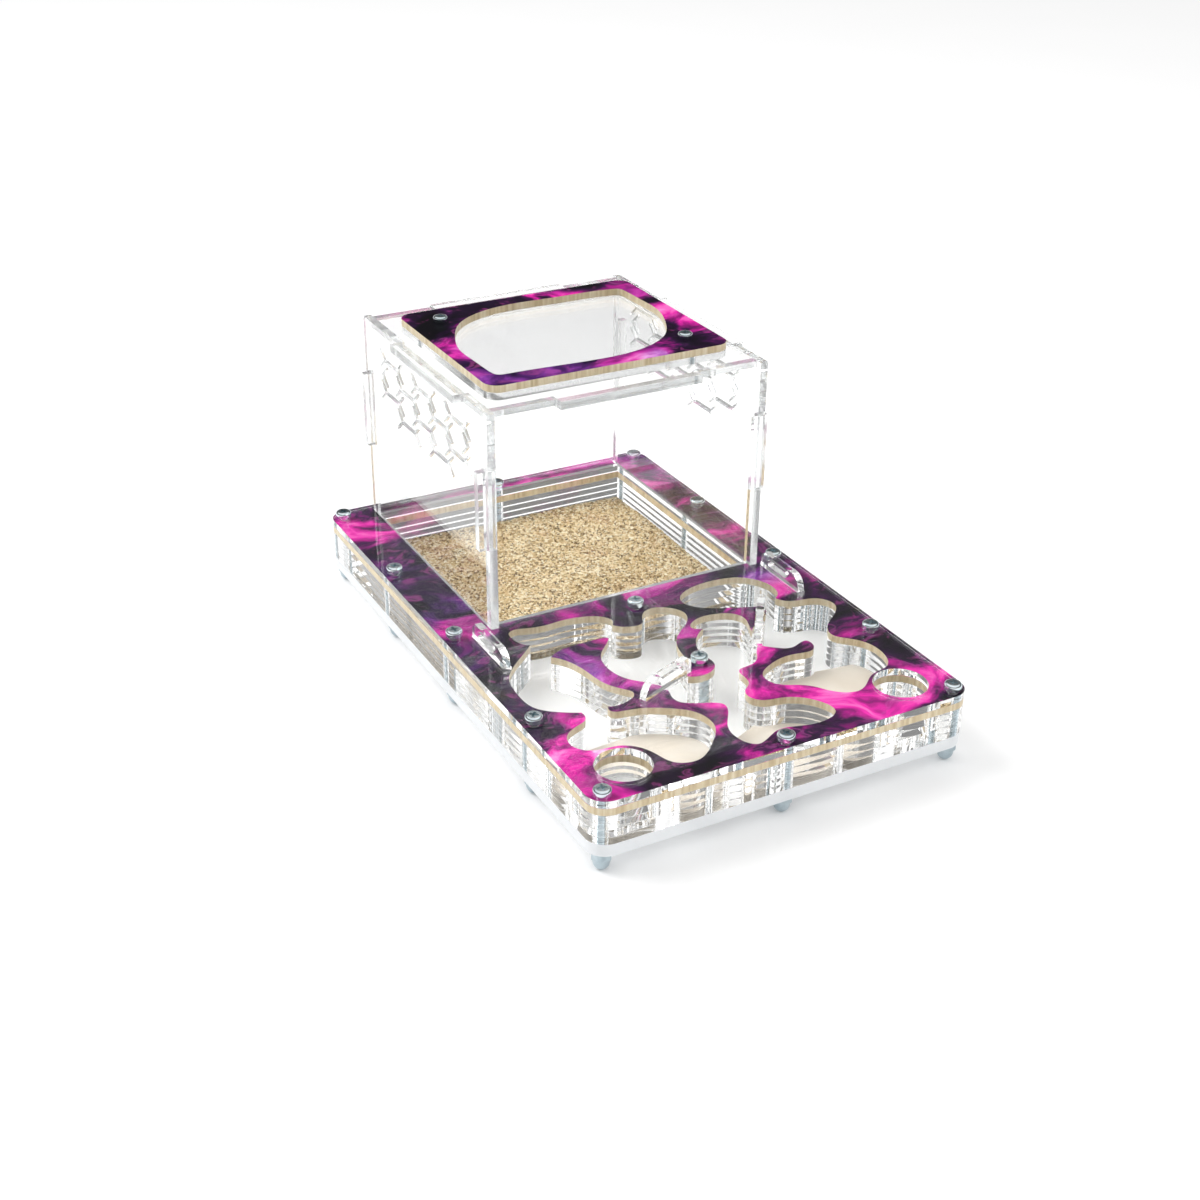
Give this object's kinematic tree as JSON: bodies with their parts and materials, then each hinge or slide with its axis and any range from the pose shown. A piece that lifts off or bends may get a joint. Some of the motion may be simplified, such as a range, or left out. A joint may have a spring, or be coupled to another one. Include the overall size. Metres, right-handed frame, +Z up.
{
  "type": "ant habitat",
  "caption": "Flat ant nest of bolted clear sheets with winding rooms, sliding gates and tube ports, joined to a clear roaming box with a lift-off lid.",
  "frame": {"origin": "on the surface that the cap nuts stand on, under the middle of the base", "axes": "+Z up, +Y from the nest towards the roaming box, +X to the right seen from the nest end"},
  "size_m": [0.16, 0.253, 0.1302],
  "materials": {
    "clear_acrylic": "clear",
    "milky_acrylic": "gloss",
    "printed_panel": "gloss",
    "zinc_steel": "zinc",
    "sand": "matte",
    "gypsum": "matte"
  },
  "bodies": {
    "base": {"base_plate": "milky_acrylic", "nest_layer_1": "clear_acrylic", "nest_layer_2": "clear_acrylic", "nest_layer_3": "clear_acrylic", "nest_layer_4": "clear_acrylic", "print_panel": "printed_panel", "cover_plate": "clear_acrylic", "arena_front_wall": "clear_acrylic", "arena_rear_wall": "clear_acrylic", "arena_left_wall": "clear_acrylic", "arena_right_wall": "clear_acrylic", "arena_top_panel": "clear_acrylic", "base_screws": "zinc_steel", "base_nuts": "zinc_steel", "sand_bed": "sand", "gypsum_front_left": "gypsum", "gypsum_front_middle": "gypsum", "gypsum_right": "gypsum"},
    "lid": {"lid_ring": "printed_panel", "lid_plate": "clear_acrylic", "lid_plug": "clear_acrylic", "lid_screws": "zinc_steel", "lid_nuts": "zinc_steel"},
    "gate_left": {"gate_left": "clear_acrylic"},
    "gate_right": {"gate_right": "clear_acrylic"},
    "gate_middle": {"gate_middle": "clear_acrylic"},
    "gate_inner": {"gate_inner": "clear_acrylic"}
  },
  "joints": [
    {"name": "lid_lift", "type": "slide", "parent": "base", "child": "lid", "axis": [0, 0, 1], "range_m": [0, 0.04]},
    {"name": "gate_left_slide", "type": "slide", "parent": "base", "child": "gate_left", "axis": [0, 0, 1], "range_m": [0, 0.016]},
    {"name": "gate_right_slide", "type": "slide", "parent": "base", "child": "gate_right", "axis": [0, 0, 1], "range_m": [0, 0.016]},
    {"name": "gate_middle_slide", "type": "slide", "parent": "base", "child": "gate_middle", "axis": [0, 0, 1], "range_m": [0, 0.016]},
    {"name": "gate_inner_slide", "type": "slide", "parent": "base", "child": "gate_inner", "axis": [0, 0, 1], "range_m": [0, 0.016]}
  ]
}
